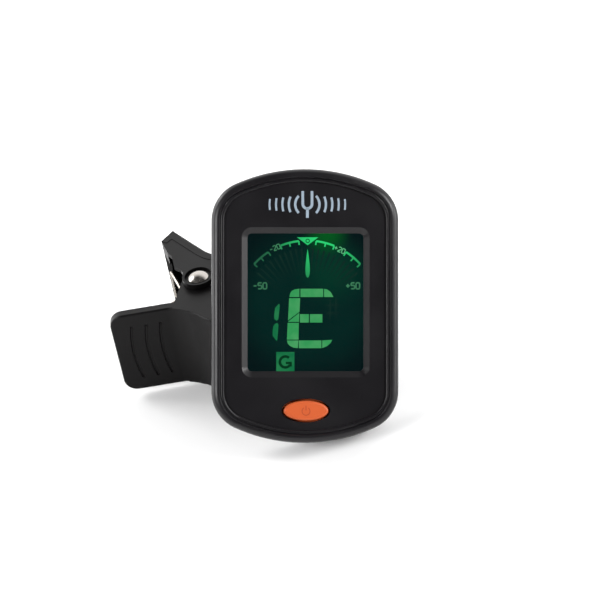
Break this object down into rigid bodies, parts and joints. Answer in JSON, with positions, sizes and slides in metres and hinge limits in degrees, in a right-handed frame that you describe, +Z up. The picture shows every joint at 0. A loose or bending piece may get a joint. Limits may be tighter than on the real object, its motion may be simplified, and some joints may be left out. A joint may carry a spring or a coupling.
{
  "type": "clip on tuner",
  "caption": "Clip-on instrument tuner: arched display head with a power button, on a swivel and tilt neck carried by a sprung two-lever clip.",
  "frame": {"origin": "on the floor under the middle of the resting object's bounding box", "axes": "+Z up, -Y towards the viewer of the display, +X to the display's right; the object stands on the clip's lower edge and the head's lower corner"},
  "size_m": [0.0642, 0.0638, 0.0518],
  "materials": {
    "satin_black": "satin",
    "lever_black": "satin",
    "button_orange": "satin",
    "window_clear": "gloss",
    "display_green": "gloss",
    "clear_acrylic": "gloss",
    "board_green": "satin",
    "chip_black": "matte",
    "led_white": "gloss",
    "elastomer": "matte",
    "switch_metal": "satin",
    "plunger_black": "matte",
    "contact_metal": "satin",
    "cell_steel": "satin",
    "sensor_brass": "satin",
    "screw_steel": "satin",
    "nickel": "polished",
    "spring_steel": "satin",
    "pad_rubber": "matte"
  },
  "bodies": {
    "clip_frame": {"front_lever": "lever_black", "front_jaw_pad": "pad_rubber", "tilt_pin": "spring_steel", "pivot_rivet": "nickel"},
    "rear_arm": {"rear_lever": "lever_black", "rear_jaw_pad": "pad_rubber", "torsion_spring": "spring_steel"},
    "neck": {"swivel_bracket": "satin_black", "swivel_washer": "spring_steel", "swivel_screw": "screw_steel"},
    "head": {"front_cover": "satin_black", "display_window": "window_clear", "display_panel": "display_green", "light_guide": "clear_acrylic", "backlight_leds": "led_white", "zebra_connector": "elastomer", "circuit_board": "board_green", "board_chips": "chip_black", "button_switch": "switch_metal", "battery_contact_negative": "contact_metal", "battery_contact_positive": "contact_metal", "coin_cell": "cell_steel", "vibration_sensor": "sensor_brass", "rear_cover": "satin_black", "case_screws": "screw_steel"},
    "button": {"power_button": "button_orange", "switch_plunger": "plunger_black"},
    "door": {"battery_door": "satin_black"}
  },
  "joints": [
    {"name": "clip_open", "type": "hinge", "parent": "clip_frame", "child": "rear_arm", "pos_m": [-0.01118, 0.01252, 0.01152], "axis": [0.0172, 0.0104, 0.9998], "range_deg": [0, 38], "stiffness_Nm_per_rad": 0.12, "springref_deg": -45.84, "deforming": ["torsion_spring"]},
    {"name": "head_tilt", "type": "hinge", "parent": "clip_frame", "child": "neck", "pos_m": [0.00642, -0.00748, 0.01142], "axis": [0.9998, -0.0122, -0.017], "range_deg": [-10, 45]},
    {"name": "head_swivel", "type": "hinge", "parent": "neck", "child": "head", "pos_m": [0.00642, -0.0118, 0.01452], "axis": [0, 0.8131, -0.5821], "continuous": true},
    {"name": "power_button_press", "type": "slide", "parent": "head", "child": "button", "axis": [0, 0.8131, -0.5821], "range_m": [0, 0.0005], "stiffness_N_per_m": 2400, "springref_m": -0.0003},
    {"name": "battery_door_turn", "type": "hinge", "parent": "head", "child": "door", "pos_m": [0.01184, 0.00066, 0.03193], "axis": [0, 0.8131, -0.5821], "range_deg": [0, 45]}
  ]
}
